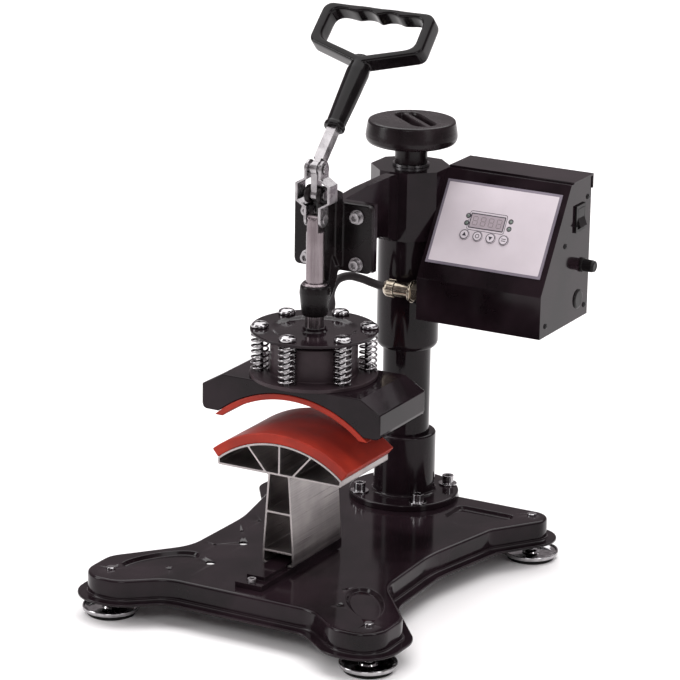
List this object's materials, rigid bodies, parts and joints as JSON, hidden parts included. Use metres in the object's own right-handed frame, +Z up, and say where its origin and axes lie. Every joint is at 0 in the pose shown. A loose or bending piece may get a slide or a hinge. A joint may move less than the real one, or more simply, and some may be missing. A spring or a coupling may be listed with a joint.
{
  "type": "cap heat press",
  "caption": "Swing-away cap heat press with a curved heated head, toggle lever, round column, control box and pressed steel base.",
  "frame": {"origin": "middle of the whole part's footprint box, on the floor under the rubber soles", "axes": "+X to the machine's right seen from the front, +Y from the cap platen back to the column, +Z up"},
  "size_m": [0.398, 0.493, 0.6232],
  "materials": {
    "black_enamel": "gloss",
    "black_casting": "gloss",
    "zinc_plate": "satin",
    "chrome": "polished",
    "ground_steel": "satin",
    "spring_steel": "satin",
    "black_oxide": "satin",
    "rubber_sole": "matt",
    "extruded_aluminium": "satin",
    "cast_aluminium": "matt",
    "red_silicone": "matt",
    "knob_plastic": "satin",
    "grip_plastic": "gloss",
    "panel_plastic": "satin",
    "display_plastic": "gloss",
    "lamp_plastic": "gloss",
    "button_plastic": "satin",
    "fitting_plastic": "matt",
    "nickel_brass": "satin",
    "lead_sleeve": "braided",
    "board_laminate": "satin",
    "thrust_steel": "satin"
  },
  "bodies": {
    "base": {"base_frame": "black_enamel", "platen_rail": "black_enamel", "rail_screws": "zinc_plate", "column_foot": "black_enamel", "flange_bolts": "chrome", "column_tube": "black_enamel", "foot_nuts": "zinc_plate"},
    "foot_fl": {"foot_front_left": "chrome", "sole_front_left": "rubber_sole"},
    "foot_fr": {"foot_front_right": "chrome", "sole_front_right": "rubber_sole"},
    "foot_bl": {"foot_back_left": "chrome", "sole_back_left": "rubber_sole"},
    "foot_br": {"foot_back_right": "chrome", "sole_back_right": "rubber_sole"},
    "platen": {"lower_platen": "extruded_aluminium", "lower_pad": "red_silicone"},
    "lift": {"thrust_washer": "thrust_steel"},
    "knob": {"height_knob": "knob_plastic", "height_screw": "ground_steel", "knob_set_screw": "black_oxide"},
    "arm": {"swing_arm": "black_enamel", "arm_set_screw": "black_oxide", "clamp_body": "black_casting", "clamp_bolts": "zinc_plate", "guide_bush": "chrome", "fulcrum_pin": "zinc_plate", "control_case": "black_enamel", "case_lid": "black_enamel", "control_panel": "panel_plastic", "display_window": "display_plastic", "indicator_lamps": "lamp_plastic", "rocker_bezel": "fitting_plastic", "fuse_holder": "fitting_plastic", "blanking_plug": "fitting_plastic", "case_screws": "black_oxide", "lead_gland": "nickel_brass", "gland_cap": "nickel_brass", "mains_gland": "fitting_plastic", "heater_lead": "lead_sleeve", "circuit_board": "board_laminate"},
    "push_1": {"button_1": "button_plastic"},
    "push_2": {"button_2": "button_plastic"},
    "push_3": {"button_3": "button_plastic"},
    "push_4": {"button_4": "button_plastic"},
    "rocker": {"rocker_switch": "fitting_plastic"},
    "cap": {"fuse_cap": "fitting_plastic"},
    "lever": {"toggle_lever": "zinc_plate", "handle_grip": "grip_plastic", "link_pin": "zinc_plate"},
    "links": {"link_plates": "zinc_plate", "link_rivets": "zinc_plate"},
    "plunger": {"plunger_rod": "ground_steel", "spring_plate": "black_enamel"},
    "head": {"spring_bolts": "chrome", "head_drum": "black_enamel", "head_housing": "black_enamel", "upper_platen": "cast_aluminium", "upper_pad": "red_silicone", "head_springs": "spring_steel"}
  },
  "joints": [
    {"name": "foot_fl_turn", "type": "hinge", "parent": "base", "child": "foot_fl", "pos_m": [-0.1645, -0.205, 0], "axis": [0, 0, 1], "continuous": true},
    {"name": "foot_fr_turn", "type": "hinge", "parent": "base", "child": "foot_fr", "pos_m": [0.1475, -0.205, 0], "axis": [0, 0, 1], "continuous": true},
    {"name": "foot_bl_turn", "type": "hinge", "parent": "base", "child": "foot_bl", "pos_m": [-0.1645, 0.179, 0], "axis": [0, 0, 1], "continuous": true},
    {"name": "foot_br_turn", "type": "hinge", "parent": "base", "child": "foot_br", "pos_m": [0.1475, 0.179, 0], "axis": [0, 0, 1], "continuous": true},
    {"name": "platen_slide", "type": "slide", "parent": "base", "child": "platen", "axis": [0, -1, 0], "range_m": [0, 0.04]},
    {"name": "head_height", "type": "slide", "parent": "base", "child": "lift", "axis": [0, 0, 1], "range_m": [0, 0.02]},
    {"name": "knob_turn", "type": "hinge", "parent": "lift", "child": "knob", "pos_m": [-0.0085, 0.168, 0.45], "axis": [0, 0, 1], "range_deg": [0, 3601]},
    {"name": "head_swing", "type": "hinge", "parent": "lift", "child": "arm", "pos_m": [-0.0085, 0.168, 0.357], "axis": [0, 0, 1], "continuous": true},
    {"name": "lever_pull", "type": "hinge", "parent": "arm", "child": "lever", "pos_m": [-0.0085, -0.047, 0.448], "axis": [1, 0, 0], "range_deg": [0, 105]},
    {"name": "link_swing", "type": "hinge", "parent": "lever", "child": "links", "pos_m": [-0.0085, -0.047, 0.476], "axis": [1, 0, 0], "range_deg": [-75, 0]},
    {"name": "plunger_slide", "type": "slide", "parent": "arm", "child": "plunger", "axis": [0, 0, -1], "range_m": [0, 0.028]},
    {"name": "head_float", "type": "slide", "parent": "plunger", "child": "head", "axis": [0, 0, 1], "range_m": [0, 0.004], "stiffness_N_per_m": 9000, "springref_m": -0.002, "deforming": ["head_springs"]},
    {"name": "button_1_press", "type": "slide", "parent": "arm", "child": "push_1", "axis": [0, 0.8443, -0.5359], "range_m": [0, 0.0008], "stiffness_N_per_m": 400, "springref_m": -0.0005},
    {"name": "button_2_press", "type": "slide", "parent": "arm", "child": "push_2", "axis": [0, 0.8443, -0.5359], "range_m": [0, 0.0008], "stiffness_N_per_m": 400, "springref_m": -0.0005},
    {"name": "button_3_press", "type": "slide", "parent": "arm", "child": "push_3", "axis": [0, 0.8443, -0.5359], "range_m": [0, 0.0008], "stiffness_N_per_m": 400, "springref_m": -0.0005},
    {"name": "button_4_press", "type": "slide", "parent": "arm", "child": "push_4", "axis": [0, 0.8443, -0.5359], "range_m": [0, 0.0008], "stiffness_N_per_m": 400, "springref_m": -0.0005},
    {"name": "rocker_rock", "type": "hinge", "parent": "arm", "child": "rocker", "pos_m": [0.1805, 0.2, 0.394], "axis": [0, 1, 0], "range_deg": [0, 20]},
    {"name": "fuse_cap_turn", "type": "hinge", "parent": "arm", "child": "cap", "pos_m": [0.1825, 0.211, 0.338], "axis": [1, 0, 0], "range_deg": [-90, 0]}
  ],
  "couplings": [
    {"joint": "knob_turn", "follows": "head_height", "rad_per_m": 3141.6},
    {"joint": "link_swing", "follows": "lever_pull", "ratio": -0.7137},
    {"joint": "plunger_slide", "follows": "lever_pull", "m_per_rad": 0.01527}
  ]
}
